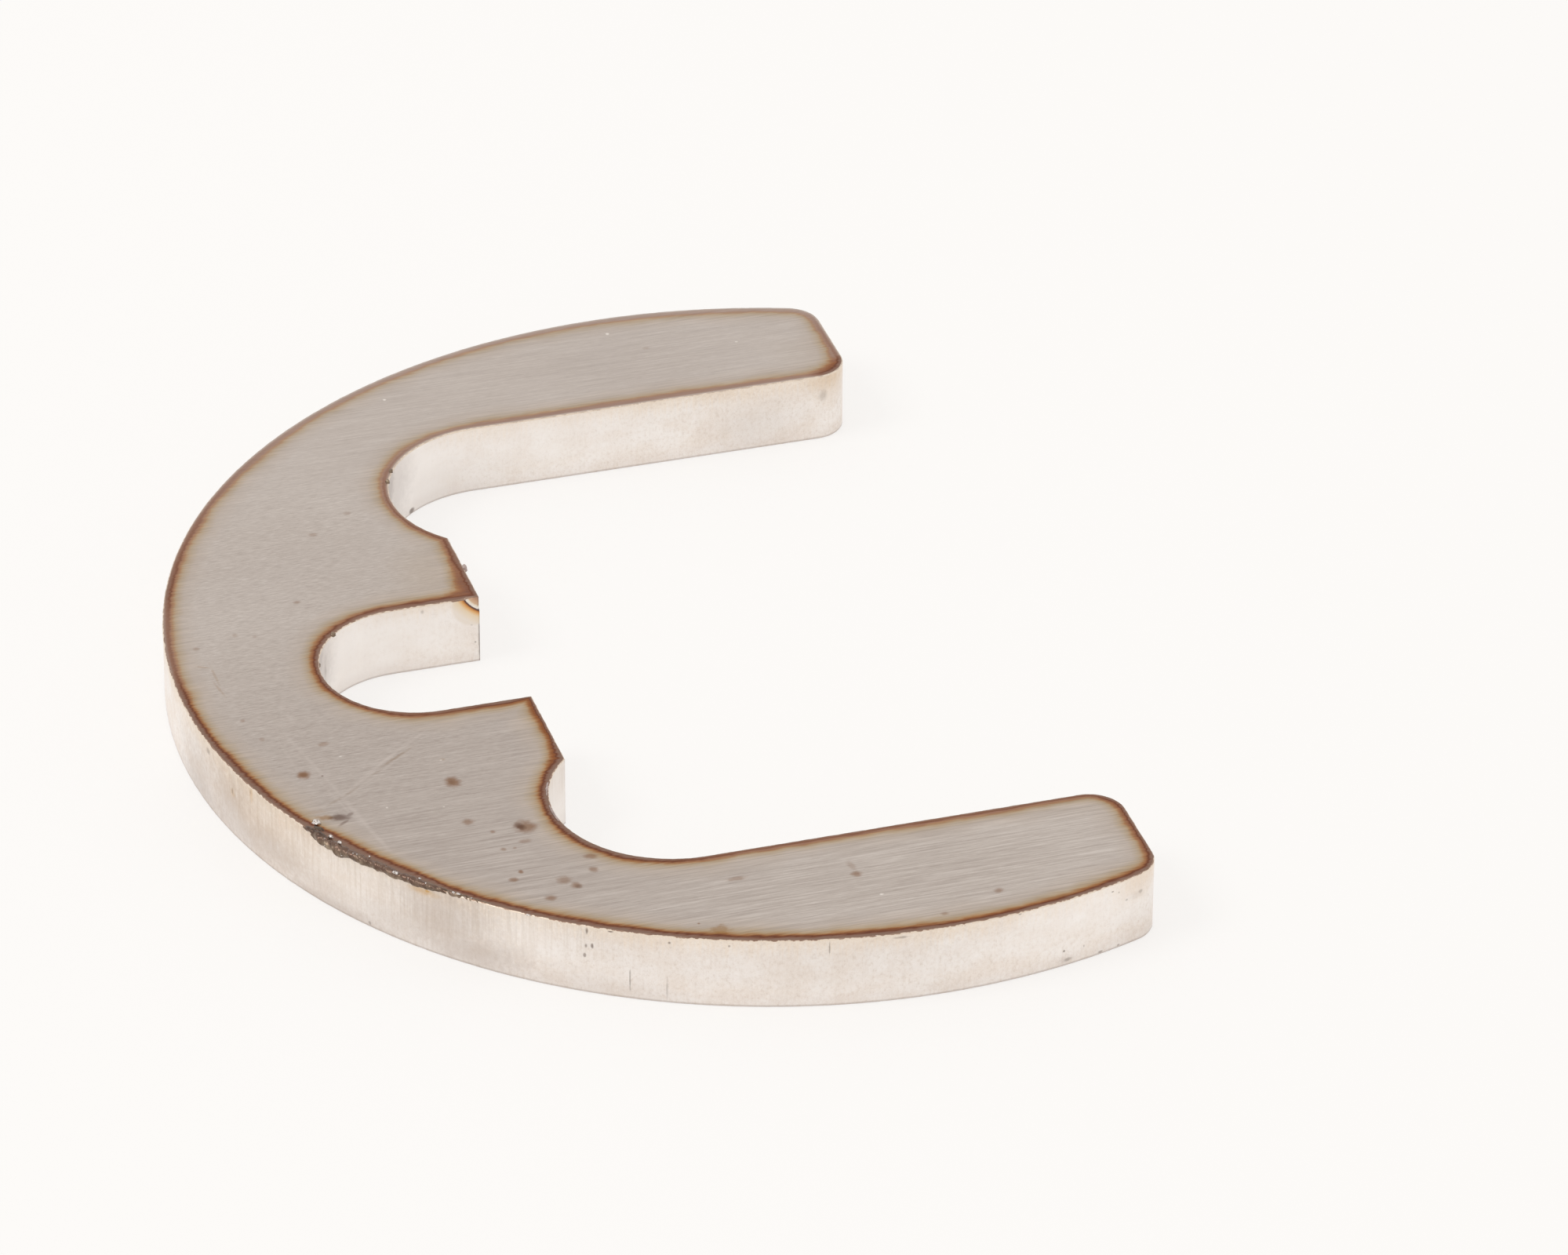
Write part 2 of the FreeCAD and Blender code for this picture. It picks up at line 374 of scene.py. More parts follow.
def calc(tree, operation, *values):
    """One step of arithmetic on numbers."""
    node = tree.nodes.new("ShaderNodeMath")
    node.operation = operation
    for socket, value in zip(node.inputs, values):
        feed(tree, socket, value)
    return node.outputs[0]


def plus(tree, first, second):
    """The sum of two values."""
    return calc(tree, "ADD", first, second)


def minus(tree, first, second):
    """The first value less the second."""
    return calc(tree, "SUBTRACT", first, second)


def times(tree, first, second):
    """The product of two values."""
    return calc(tree, "MULTIPLY", first, second)


def larger(tree, first, second):
    """The larger of two values."""
    return calc(tree, "MAXIMUM", first, second)


def smaller(tree, first, second):
    """The smaller of two values."""
    return calc(tree, "MINIMUM", first, second)


def calc_vector(tree, operation, *values):
    """One step of arithmetic on vectors."""
    node = tree.nodes.new("ShaderNodeVectorMath")
    node.operation = operation
    for socket, value in zip(node.inputs, values):
        feed(tree, socket, value)
    if operation == "LENGTH":
        return node.outputs["Value"]
    return node.outputs["Vector"]


def parts_of(tree, vector):
    """The parts of a vector, named X, Y and Z."""
    node = tree.nodes.new("ShaderNodeSeparateXYZ")
    feed(tree, node.inputs[0], vector)
    return node.outputs


def ease(tree, value, low, high, start=0.0, end=1.0):
    """Carries a value smoothly from one number to another between two levels."""
    node = tree.nodes.new("ShaderNodeMapRange")
    node.interpolation_type = "SMOOTHSTEP"
    names = ("Value", "From Min", "From Max", "To Min", "To Max")
    for name, setting in zip(names, (value, low, high, start, end)):
        feed(tree, node.inputs[name], setting)
    return node.outputs["Result"]


def mix(tree, amount, first, second, blend="MIX"):
    """Mixes two colours."""
    node = tree.nodes.new("ShaderNodeMix")
    node.data_type = "RGBA"
    node.blend_type = blend
    node.clamp_factor = True
    feed(tree, node.inputs["Factor"], amount)
    feed(tree, node.inputs[6], first)
    feed(tree, node.inputs[7], second)
    return node.outputs[2]


def grain(tree, place, density, detail, roughness=0.5):
    """Noise at a place, with the density of its grains per millimetre along each axis."""
    node = tree.nodes.new("ShaderNodeTexNoise")
    feed(tree, node.inputs["Vector"], calc_vector(tree, "MULTIPLY", place, density))
    node.inputs["Scale"].default_value = 1.0
    node.inputs["Detail"].default_value = detail
    node.inputs["Roughness"].default_value = roughness
    return node.outputs["Fac"]


def colour_stops(tree, value, stops):
    """A colour along a value, from a few stops of position and colour on a screen."""
    node = tree.nodes.new("ShaderNodeValToRGB")
    elements = node.color_ramp.elements
    for element, (position, colour) in zip(elements, (stops[0], stops[-1])):
        element.position = position
        element.color = shade(*colour)
    for position, colour in stops[1:-1]:
        elements.new(position).color = shade(*colour)
    feed(tree, node.inputs["Fac"], value)
    return node.outputs["Color"]


def start_group(name, inputs, outputs):
    """A new node group with named inputs and outputs."""
    tree = bpy.data.node_groups.new(name, "ShaderNodeTree")
    for label, kind, value in inputs:
        socket = tree.interface.new_socket(label, in_out="INPUT", socket_type="NodeSocket" + kind)
        if value is not None:
            socket.default_value = value
    for label, kind in outputs:
        tree.interface.new_socket(label, in_out="OUTPUT", socket_type="NodeSocket" + kind)
    given = tree.nodes.new("NodeGroupInput").outputs
    result = tree.nodes.new("NodeGroupOutput").inputs
    return tree, given, result


def use_group(tree, group, **values):
    """Places a node group in a material with its own values, and gives its outputs."""
    node = tree.nodes.new("ShaderNodeGroup")
    node.node_tree = group
    for label, value in values.items():
        feed(tree, node.inputs[label.replace("_", " ").capitalize()], value)
    return node.outputs


# Groups for what more than one finish uses
def make_place_in_mm():
    """Where a point is on the washer, in millimetres."""
    tree, _, result = start_group("place_in_millimetres", [], [("Place", "Vector")])
    in_metres = tree.nodes.new("ShaderNodeTexCoord").outputs["Object"]
    feed(tree, result["Place"], calc_vector(tree, "MULTIPLY", in_metres, (1000, 1000, 1000)))
    return tree


def make_cut_depth():
    """How far a point of the face lies in from the nearest cut edge, in millimetres."""
    tree, given, result = start_group("depth_from_cut", [("Place", "Vector", None)], [("Depth", "Float")])
    parts = parts_of(tree, given["Place"])
    x = parts["X"]
    side = calc(tree, "ABSOLUTE", parts["Y"])

    def reach(across, along):
        """The length of a slanted distance."""
        return calc(tree, "SQRT", plus(tree, times(tree, across, across), times(tree, along, along)))

    def past(value, limit):
        """How far a value is past a limit, and nothing before it."""
        return larger(tree, minus(tree, value, limit), 0.0)

    def before(value, limit):
        """How far a value is short of a limit, and nothing after it."""
        return larger(tree, minus(tree, limit, value), 0.0)

    def both(first, second):
        """One where both values are above nothing, else nothing."""
        return times(tree, *[calc(tree, "GREATER_THAN", value, 0.0) for value in (first, second)])

    def choose(pick, first, second):
        """The first value where the pick is one, the second where it is nothing."""
        return plus(tree, times(tree, pick, minus(tree, first, second)), second)

    rim = minus(tree, RIM_RADIUS, reach(x, side))
    leg_end = minus(tree, LEG_END, x)
    throat = reach(before(x, RELIEF_CENTRE[0]), past(side, LEG_INSIDE))
    tongues = reach(before(x, TONGUE_END), past(side, TONGUE_Y))
    relief_across = minus(tree, x, RELIEF_CENTRE[0])
    relief_along = minus(tree, side, RELIEF_CENTRE[1])
    relief = minus(tree, reach(relief_across, relief_along), RELIEF_RADIUS)
    slot = minus(tree, reach(before(x, SLOT_BOTTOM), side), SLOT_HALF)
    across = minus(tree, x, CORNER_X)
    outer_along = minus(tree, side, CORNER_Y)
    steep = minus(tree, times(tree, across, CORNER_Y), times(tree, outer_along, CORNER_X))
    outer_round = minus(tree, LEG_END_ROUND, reach(across, outer_along))
    outer = choose(both(outer_along, steep), outer_round, smaller(tree, rim, leg_end))
    inner_along = minus(tree, LEG_INSIDE + LEG_END_ROUND, side)
    inner_round = minus(tree, LEG_END_ROUND, reach(across, inner_along))
    inner = choose(both(across, inner_along), inner_round, smaller(tree, throat, leg_end))
    depth = smaller(tree, outer, inner)
    for other in (tongues, relief, slot):
        depth = smaller(tree, depth, other)
    feed(tree, result["Depth"], larger(tree, depth, 0.0))
    return tree


def make_soft_patch():
    """A mask for one patch: its place, half sizes and blur in millimetres, its turn about the upright."""
    inputs = [
        ("Place", "Vector", None), ("Centre", "Vector", None), ("Half size", "Vector", (1, 1, 1)),
        ("Ragged", "Float", 0.0), ("Turn", "Float", 0.0), ("Blur", "Float", 0.3),
        ("Wobble", "Float", 0.3), ("Strength", "Float", 1.0)]
    tree, given, result = start_group("soft_patch", inputs, [("Mask", "Float")])
    offset = calc_vector(tree, "SUBTRACT", given["Place"], given["Centre"])
    rotate = tree.nodes.new("ShaderNodeVectorRotate")
    rotate.rotation_type = "Z_AXIS"
    feed(tree, rotate.inputs["Vector"], offset)
    feed(tree, rotate.inputs["Angle"], times(tree, given["Turn"], -math.pi / 180))
    local = calc_vector(tree, "DIVIDE", rotate.outputs["Vector"], given["Half size"])
    edge = calc_vector(tree, "LENGTH", local)
    edge = plus(tree, edge, times(tree, given["Ragged"], given["Wobble"]))
    inside = ease(tree, edge, minus(tree, 1.0, given["Blur"]), plus(tree, 1.0, given["Blur"]), 1.0, 0.0)
    feed(tree, result["Mask"], times(tree, inside, given["Strength"]))
    return tree


def make_fine_lines():
    """Fine lines drawn out along the direction of least density."""
    inputs = [("Place", "Vector", None), ("Density", "Vector", (1, 1, 1))]
    tree, given, result = start_group("fine_lines", inputs, [("Lines", "Float")])
    feed(tree, result["Lines"], grain(tree, given["Place"], given["Density"], 4.0, 0.65))
    return tree


place_group = make_place_in_mm()
depth_group = make_cut_depth()
patch_group = make_soft_patch()
lines_group = make_fine_lines()


def join_patches(tree, place, patches):
    """One mask of several patches: each is centre, half size, turn, blur, wobble and strength."""
    ragged = grain(tree, place, (4, 4, 4), 3.0)
    ragged = times(tree, minus(tree, ragged, 0.5), 3.0)
    mask = None
    for centre, half_size, turn, blur, wobble, strength in patches:
        one = use_group(
            tree, patch_group, place=place, centre=centre, half_size=half_size,
            ragged=ragged, turn=turn, blur=blur, wobble=wobble, strength=strength)["Mask"]
        mask = one if mask is None else larger(tree, mask, one)
    return mask


def start_material(name):
    """A new material with its shader, and the place on the washer in millimetres."""
    material = bpy.data.materials.new(name)
    material.use_nodes = True
    tree = material.node_tree
    shader = tree.nodes["Principled BSDF"]
    place = use_group(tree, place_group)["Place"]
    return material, tree, shader, place


def set_finish(tree, shader, colour, metallic, roughness):
    """Gives a finish its colour, how metallic it is, and its roughness."""
    feed(tree, shader.inputs["Base Color"], colour)
    shader.inputs["Metallic"].default_value = metallic
    feed(tree, shader.inputs["Roughness"], roughness)


def add_bump(tree, shader, height, distance, strength=1.0):
    """Raises fine relief on a finish; the distance is in millimetres."""
    bump = tree.nodes.new("ShaderNodeBump")
    bump.inputs["Strength"].default_value = strength
    bump.inputs["Distance"].default_value = distance * MM
    feed(tree, bump.inputs["Height"], height)
    tree.links.new(bump.outputs["Normal"], shader.inputs["Normal"])


# Brushed face, and its marks: each is centre, half sizes, turn and strength
BROWN_SPOTS = (
    ((-21.97, -7.28), (0.21, 0.24), 0, 0.84), ((-20.6, -5.23), (0.19, 0.12), 0, 0.4),
    ((-16.27, -9.52), (0.26, 0.31), 15, 0.79), ((-16.47, -12.55), (0.2, 0.18), 0, 0.56),
    ((-14.34, -13.58), (0.36, 0.38), 25, 0.7), ((-15.7, -13.56), (0.1, 0.1), 0, 0.5),
    ((-14.63, -14.57), (0.22, 0.12), 0, 0.35), ((-15.63, -14.92), (0.1, 0.1), 0, 0.45),
    ((-15.15, -14.96), (0.07, 0.07), 0, 0.35), ((-12.4, -16.42), (0.24, 0.16), -15, 0.58),
    ((-12.54, -17.38), (0.16, 0.16), 0, 0.55), ((-15.4, -16.7), (0.08, 0.11), 0, 0.7),
    ((-15.82, -17.18), (0.15, 0.14), 0, 0.6), ((-13.9, -17.8), (0.24, 0.25), 0, 0.47),
    ((-13.54, -18.27), (0.17, 0.2), 30, 0.6), ((-14.75, -18.88), (0.19, 0.16), 0, 0.6),
    ((-7.25, -19.67), (0.34, 0.12), 0, 0.42), ((-2.54, -20.71), (0.19, 0.15), 0, 0.6),
    ((-2.55, -20.1), (0.12, 0.28), 10, 0.24), ((2.57, -23.48), (0.16, 0.14), 0, 0.5),
    ((-0.03, -24.45), (0.15, 0.1), 0, 0.4), ((-23.35, -2.54), (0.09, 0.09), 0, 0.35),
    ((-22.93, -4.18), (0.1, 0.12), 0, 0.25), ((-23.85, 3.45), (0.12, 0.12), 0, 0.3),
    ((-16.87, 11.0), (0.16, 0.12), 0, 0.32), ((-18.9, 5.85), (0.14, 0.1), 0, 0.38),
    ((-15.03, 12.3), (0.14, 0.12), 0, 0.24), ((-22.04, 4.03), (0.1, 0.12), 0, 0.24),
    ((-21.27, 3.7), (0.08, 0.1), 0, 0.22), ((1.3, 22.3), (0.12, 0.1), 0, 0.2),
    ((-9.63, -22.33), (0.05, 0.05), 0, 0.6))

DARK_FLAKES = (
    ((-14.52, -13.5), (0.17, 0.22), 20, 0.68), ((-21.36, -10.77), (0.31, 0.2), -9, 0.68),
    ((-21.58, -10.74), (0.14, 0.06), -9, 0.55), ((-20.95, -10.7), (0.22, 0.08), 36, 0.42),
    ((-21.3, -11.2), (0.28, 0.07), 37, 0.45), ((-21.25, -7.56), (0.05, 0.05), 0, 0.6),
    ((-13.48, -18.38), (0.1, 0.12), 30, 0.3), ((-16.32, -9.5), (0.12, 0.16), 0, 0.15),
    ((-21.97, -7.3), (0.12, 0.12), 0, 0.12))

RUSTY_SMEARS = (
    ((-21.95, -10.6), (0.3, 0.14), -22, 0.6), ((-22.2, -10.1), (0.3, 0.12), 0, 0.14),
    ((-8.96, -23.05), (0.32, 0.3), 30, 0.54), ((-23.9, 1.95), (0.28, 0.05), -27, 0.26),
    ((-23.6, 1.2), (0.05, 0.6), 0, 0.22), ((-23.68, 0.1), (0.05, 0.5), 10, 0.22),
    ((-16.25, -7.75), (0.1, 0.06), 0, 0.25))

PALE_SPECKS = (
    ((0, 24.0), (0.07, 0.07), 0, 0.8), ((-11, 21.2), (0.06, 0.06), 0, 0.8),
    ((-2.02, -22.4), (0.07, 0.05), 0, 0.7), ((5.3, 21.7), (0.06, 0.05), 0, 0.5),
    ((-20.17, -6.33), (0.05, 0.04), 0, 0.5), ((-19.33, -10.6), (0.04, 0.05), 0, 0.5),
    ((-16.3, -7.78), (0.05, 0.04), 0, 0.5), ((-17.1, -11.2), (0.04, 0.04), 0, 0.4))

PALE_SCRATCHES = (
    ((-19.9, -8.42), (0.95, 0.06), 38, 0.2), ((-18.5, -7.15), (1.2, 0.07), 40, 0.24),
    ((-17.1, -6.05), (0.95, 0.06), 39, 0.16), ((-18.9, -7.95), (1.5, 0.05), 39, 0.12),
    ((-21.65, -5.4), (0.07, 1.0), 11, 0.14), ((-21.3, -7.1), (0.07, 1.1), 12, 0.16),
    ((-20.95, -8.9), (0.06, 0.9), 10, 0.12), ((-20.6, -10.9), (0.1, 1.1), 10, 0.26),
    ((-20.3, -12.5), (0.08, 0.9), 12, 0.22), ((-20.95, -10.2), (0.05, 1.4), 13, 0.12),
    ((-22.2, -6.0), (0.06, 1.6), 5, 0.08))

DARK_SCRATCHES = (
    ((-18.13, -7.15), (0.58, 0.06), 35, 0.46), ((-17.4, -6.66), (0.3, 0.05), 35, 0.2),
    ((-19.06, -7.94), (0.25, 0.05), 30, 0.2), ((-20.45, -9.05), (0.4, 0.05), 37, 0.24),
    ((-21.25, -9.56), (0.34, 0.06), 32, 0.22))


# Where shade is painted on the face, and by how much, and where a straw haze lies over it
PAINTED_SHADE = (0.88, 0.865, 0.86, 1.0)

PAINTED_SHADE_PLACES = (
    ((-17.5, -11.0), (13.0, 12.0), 0, 0.6, 0.0, 1.0),
    ((-17.0, 8.0), (4.5, 3.5), 0, 0.8, 0.0, 0.3),
    ((0.0, 21.5), (3.5, 2.5), 0, 0.8, 0.0, 0.35),
    ((-2.5, -21.3), (6.0, 2.0), 0, 0.8, 0.0, 0.35))

STRAW_PLACES = (
    ((-12.6, 6.2), (1.5, 2.4), 0, 0.8, 0.1, 0.3),
    ((8.2, 19.2), (1.4, 1.6), 0, 0.8, 0.1, 0.12))

# Where the heat tint runs wider, where it stays narrow, where it lies further in, and where it is faint
HOT_PLACES = (
    ((-11.4, 4.4), (0.95, 1.9), 0, 0.7, 0.2, 0.7),
    ((-11.4, -9.1), (0.7, 0.7), 0, 0.7, 0.2, 0.4),
    ((9.4, 18.4), (1.3, 1.2), 0, 0.7, 0.2, 0.3))

COOL_PLACES = (
    ((0.5, -17.7), (9.6, 1.6), 0, 0.3, 0.1, 0.85),
    ((-13.4, -4.2), (3.6, 1.2), 0, 0.3, 0.1, 0.4),
    ((-17.8, 0.0), (3.2, 4.5), 0, 0.4, 0.1, 0.55),
    ((-9.5, 13.0), (5.5, 6.0), 0, 0.2, 0.1, 0.65),
    ((-18.0, 18.0), (16.0, 9.0), 40, 0.3, 0.1, 0.35),
    ((-25.2, 4.8), (2.6, 6.8), 0, 0.4, 0.1, 0.28),
    ((4.9, -24.9), (5.0, 1.4), 11, 0.4, 0.1, 0.45),
    ((9.4, 21.0), (1.4, 3.2), 0, 0.5, 0.1, 0.5),
    ((9.4, -20.4), (1.4, 2.9), 0, 0.4, 0.1, 0.8),
    ((-11.4, 5.4), (0.9, 1.5), 0, 0.5, 0.1, 0.45),
    ((-11.4, -6.0), (0.9, 2.2), 0, 0.4, 0.1, 1.0))

MELTED_PLACES = ((round_place(RIM_CENTRE, 25.2, 213.6)[:2], (0.9, 3.6), 213.6, 0.25, 0.1, 1.0),)

FAINT_PLACES = (
    ((0.0, 17.7), (9.0, 1.2), 0, 0.4, 0.1, 0.6),
    ((-15.8, 0.0), (3.2, 5.4), 0, 0.3, 0.1, 0.25),
    ((0.5, -17.7), (9.6, 1.6), 0, 0.3, 0.1, 0.3),
    ((9.4, -20.4), (1.4, 2.9), 0, 0.4, 0.1, 0.12),
    ((-25.2, 4.5), (2.6, 4.0), 0, 0.5, 0.1, 0.42))

# Where the tint is dark again on the far side: the left leg's end
BOLD_PLACES = (
    ((9.4, 19.6), (1.2, 3.2), 0, 0.5, 0.1, 0.22),
    ((9.2, 18.2), (1.3, 0.9), 0, 0.6, 0.1, 0.95))


def on_face(places, reach):
    """Patches on the upper face, from places that leave out its height, with their reach below it."""
    return [
        ((x, y, THICKNESS), (along, across, reach), turn, blur, wobble, strength)
        for (x, y), (along, across), turn, blur, wobble, strength in places]


def flat_marks(marks, blur, wobble):
    """Patches for marks on the upper face only, a little larger for their soft edge."""
    return on_face([
        (centre, (1.1 * along, 1.1 * across), turn, blur, wobble, strength)
        for centre, (along, across), turn, strength in marks], 0.4)


def brushed_face():
    """Brushed stainless sheet, with heat tint along its cut edges and a few burnt spots."""
    material, tree, shader, place = start_material("brushed_face")

    def over(places, reach=2.0):
        """A mask over places on the face."""
        return join_patches(tree, place, on_face(places, reach))

    depth = use_group(tree, depth_group, place=place)["Depth"]
    depth = minus(tree, depth, times(tree, over(MELTED_PLACES), 0.16))
    along_y = parts_of(tree, place)["Y"]
    nearness = ease(tree, along_y, 10.0, -16.0)

    # Grain of the brushing, crisper toward the near side
    broad = use_group(tree, lines_group, place=place, density=(0.12, 3.2, 0.3))["Lines"]
    fine = use_group(tree, lines_group, place=place, density=(0.35, 11.0, 0.3))["Lines"]
    pits = grain(tree, place, (2.4, 17.0, 3.5), 3.0, 0.7)
    far_left = use_group(
        tree, patch_group, place=place, centre=(-21.0, 3.0, THICKNESS),
        half_size=(11.0, 14.0, 4.0), blur=0.6)["Mask"]
    drift = grain(tree, place, (0.12, 0.16, 0.1), 2.0)
    face = mix(tree, ease(tree, drift, 0.35, 0.65), shade(193, 183, 176), shade(189, 178, 170))
    lines = plus(tree, times(tree, broad, 0.22), times(tree, fine, 0.78))
    face = mix(tree, ease(tree, nearness, 0.0, 1.0, 0.42, 0.75), face, colour_stops(tree, lines, (
        (0.36, (160, 147, 138)), (0.5, (190, 179, 170)), (0.64, (218, 209, 201)))))
    face = mix(tree, ease(tree, far_left, 0.0, 1.0, 0.2, 0.5), face, colour_stops(tree, pits, (
        (0.25, (152, 139, 130)), (0.5, (190, 179, 170)), (0.75, (222, 214, 207)))))
    # Painted shade: the face darkened in broad soft places, most of all at its lower left
    face = mix(tree, over(PAINTED_SHADE_PLACES, 4.0), face, PAINTED_SHADE, "MULTIPLY")
    face = mix(tree, over(STRAW_PLACES, 4.0), face, shade(176, 156, 132))

    # Heat tint of the cut: a dark band along the edge, and a glow that blends away through straw
    wander = grain(tree, place, (0.5, 0.5, 0.5), 2.0)
    ragged = grain(tree, place, (1.4, 8.0, 1.0), 3.0)
    hot = over(HOT_PLACES)
    cool = over(COOL_PLACES)
    shake = ease(tree, ragged, 0.3, 0.7, -0.045, 0.045)
    full_width = ease(tree, wander, 0.3, 0.7, 0.9, 1.1)
    width = minus(tree, full_width, times(tree, cool, 0.48))
    glow_width = plus(tree, minus(tree, full_width, times(tree, cool, 0.2)), times(tree, hot, 1.6))
    glow_depth = plus(tree, calc(tree, "DIVIDE", depth, glow_width), shake)
    core_depth = plus(tree, calc(tree, "DIVIDE", depth, width), shake)
    glow = colour_stops(tree, glow_depth, (
        (0.3, (136, 77, 30)), (0.4, (153, 104, 62)), (0.46, (164, 124, 84)),
        (0.53, (172, 144, 112)), (0.62, (176, 155, 130)), (0.75, (179, 162, 143)),
        (1.0, (184, 170, 158))))
    burnt = times(tree, times(tree, hot, hot), ease(tree, glow_depth, 0.1, 0.36, 1.8, 0.0))
    glow = mix(tree, burnt, glow, shade(100, 38, 6))
    glow = mix(tree, 1.0, glow, ease(tree, lines, 0.36, 0.64, 0.87, 1.13), "MULTIPLY")
    core = colour_stops(tree, core_depth, (
        (0.1, (132, 104, 88)), (0.17, (132, 100, 84)), (0.23, (126, 84, 64)),
        (0.29, (102, 52, 26)), (0.34, (116, 64, 34)), (0.41, (138, 84, 46))))
    far_side = ease(tree, along_y, -3.0, 27.0, 0.0, 0.76)
    faint = larger(tree, over(FAINT_PLACES), far_side)
    bold = over(BOLD_PLACES)
    faint = times(tree, faint, minus(tree, 1.0, bold))
    fading = ease(tree, glow_depth, 0.25, 0.5, 0.8, 0.25)
    glow_strength = minus(tree, 1.0, times(tree, faint, fading))
    core_strength = ease(tree, faint, 0.0, 0.87, 1.0, 0.0)
    core = mix(tree, ease(tree, faint, 0.1, 0.6, 0.0, 0.8), core, shade(122, 62, 8))
    outer = ease(tree, times(tree, faint, ease(tree, depth, 0.04, 0.22, 1.1, 0.0)), 0.0, 0.9, 1.0, 0.1)
    glow_strength = times(tree, glow_strength, outer)
    core_strength = times(tree, core_strength, outer)
    glow_mask = times(tree, ease(tree, glow_depth, 0.65, 1.8, 1.0, 0.0), glow_strength)
    face = mix(tree, glow_mask, face, glow)

    # Marks that the sheet picked up, over the glow and under the dark band
    for marks, blur, wobble, colour in (
            (PALE_SCRATCHES, 0.9, 0.5, shade(214, 203, 195)),
            (DARK_SCRATCHES, 0.9, 0.5, shade(138, 112, 84)),
            (RUSTY_SMEARS, 0.6, 0.6, shade(146, 104, 46)), (BROWN_SPOTS, 0.6, 0.35, shade(126, 82, 38)),
            (DARK_FLAKES, 0.6, 0.35, shade(78, 38, 6)), (PALE_SPECKS, 0.5, 0.2, shade(235, 228, 220))):
        face = mix(tree, join_patches(tree, place, flat_marks(marks, blur, wobble)), face, colour)
    core_mask = times(tree, ease(tree, core_depth, 0.3, 0.45, 1.0, 0.0), core_strength)
    face = mix(tree, core_mask, face, core)
    set_finish(tree, shader, face, 0.85, ease(tree, fine, 0.3, 0.7, 0.36, 0.5))
    add_bump(tree, shader, plus(tree, lines, times(tree, pits, 0.4)), 0.012, 0.35)
    return material


# Cut wall
def below_top(tree, place):
    """How far a point lies below the upper face, in millimetres."""
    return minus(tree, THICKNESS, parts_of(tree, place)["Z"])


def on_rim(turn, drop, half_width, half_height, strength, blur=0.6):
    """A mark on the rim's wall, by its angle and how far it lies below the top edge."""
    place = round_place(RIM_CENTRE, RIM_RADIUS, turn, THICKNESS - drop)
    return (place, (half_width, half_width, half_height), 0, blur, 0.5, strength)


# Soft marks on the walls: each is centre, half size, turn, blur, wobble and strength
# Darker clouds: painted shade on the rim's left-facing walls, and uneven tone elsewhere
WALL_CLOUDS_AND_SHADE = (
    on_rim(186.5, 2.1, 2.0, 1.3, 0.45, 0.9), on_rim(193.0, 1.8, 1.9, 1.2, 0.55, 0.9),
    on_rim(195.5, 2.4, 3.0, 0.8, 0.5, 0.9), on_rim(200.0, 2.1, 2.4, 0.8, 0.48, 0.9),
    on_rim(206.0, 2.4, 2.0, 0.5, 0.22, 0.9), on_rim(210.0, 3.05, 3.0, 0.35, 0.5, 0.9),
    on_rim(217.5, 2.3, 1.6, 0.8, 0.25, 0.9), on_rim(222.4, 1.5, 2.0, 1.6, 0.5, 0.9),
    on_rim(225.4, 2.5, 2.4, 0.8, 0.55, 0.9), on_rim(237.5, 2.7, 3.2, 0.7, 0.22, 0.9),
    on_rim(243.0, 1.4, 3.6, 1.3, 0.13, 0.9), on_rim(257.0, 1.2, 5.5, 1.5, 0.16, 0.9),
    on_rim(289.5, 2.5, 1.2, 1.0, 0.12, 0.9), on_rim(281.3, 2.9, 0.3, 0.15, 0.3),
    on_rim(288.8, 0.95, 0.35, 0.16, 0.2),
    ((5.0, LEG_INSIDE, THICKNESS - 2.1), (1.8, 1.0, 1.0), 0, 0.9, 0.2, 0.25))

WALL_PALE = (
    on_rim(283.0, 0.7, 3.2, 1.2, 0.5, 0.9), on_rim(210.0, 1.3, 4.0, 0.9, 0.35, 0.9),
    on_rim(230.5, 1.1, 1.8, 1.0, 0.4, 0.9),
    ((-5.0, LEG_INSIDE, THICKNESS - 0.9), (4.0, 1.0, 1.4), 0, 0.9, 0.2, 0.45),
    ((-13.0, SLOT_HALF, THICKNESS - 1.3), (1.8, 0.6, 1.2), 0, 0.9, 0.2, 0.5))

POCKET_SHADE = (
    on_rim(186.5, 2.8, 2.2, 0.5, 0.35, 0.9),
    (round_place(SLOT_CENTRE, SLOT_HALF, 150, 2.0), (0.9, 0.9, 1.4), 0, 0.9, 0.3, 0.6),
    (round_place(SLOT_CENTRE, SLOT_HALF, 164, 2.8), (1.1, 1.1, 1.0), 0, 0.7, 0.3, 0.95),
    (round_place(RELIEF_CENTRE, RELIEF_RADIUS, 146, 1.8), (1.3, 1.3, 1.7), 0, 0.9, 0.3, 0.5),
    (round_place(RELIEF_CENTRE, RELIEF_RADIUS, 159, 2.6), (1.1, 1.1, 1.2), 0, 0.7, 0.3, 0.95),
    (round_place(RELIEF_CENTRE, RELIEF_RADIUS, 110, 0.6), (3.5, 1.5, 1.0), 0, 0.9, 0.3, 0.2))

POCKETS = (
    ((-10.9, 13.4, 1.4), (3.3, 5.4, 4.0), 0, 0.5, 0.1, 1.0),
    ((-10.9, -13.4, 1.4), (3.3, 5.4, 4.0), 0, 0.5, 0.1, 1.0),
    ((-17.0, 0.0, 1.4), (3.6, 5.2, 4.0), 0, 0.5, 0.1, 1.0))

WALL_WARM = (
    on_rim(197.3, 0.35, 0.12, 0.4, 0.4), on_rim(193.7, 1.1, 0.2, 0.26, 0.3),
    on_rim(220.7, 0.3, 0.12, 0.06, 0.9), on_rim(220.2, 0.38, 0.55, 0.14, 0.5, 0.9),
    on_rim(200.0, 0.9, 4.5, 1.1, 0.14, 0.9),
    ((8.5, LEG_INSIDE, THICKNESS - 0.5), (0.9, 0.9, 0.8), 0, 0.9, 0.2, 0.28),
    on_rim(289.5, 0.5, 0.9, 0.6, 0.14, 0.9))

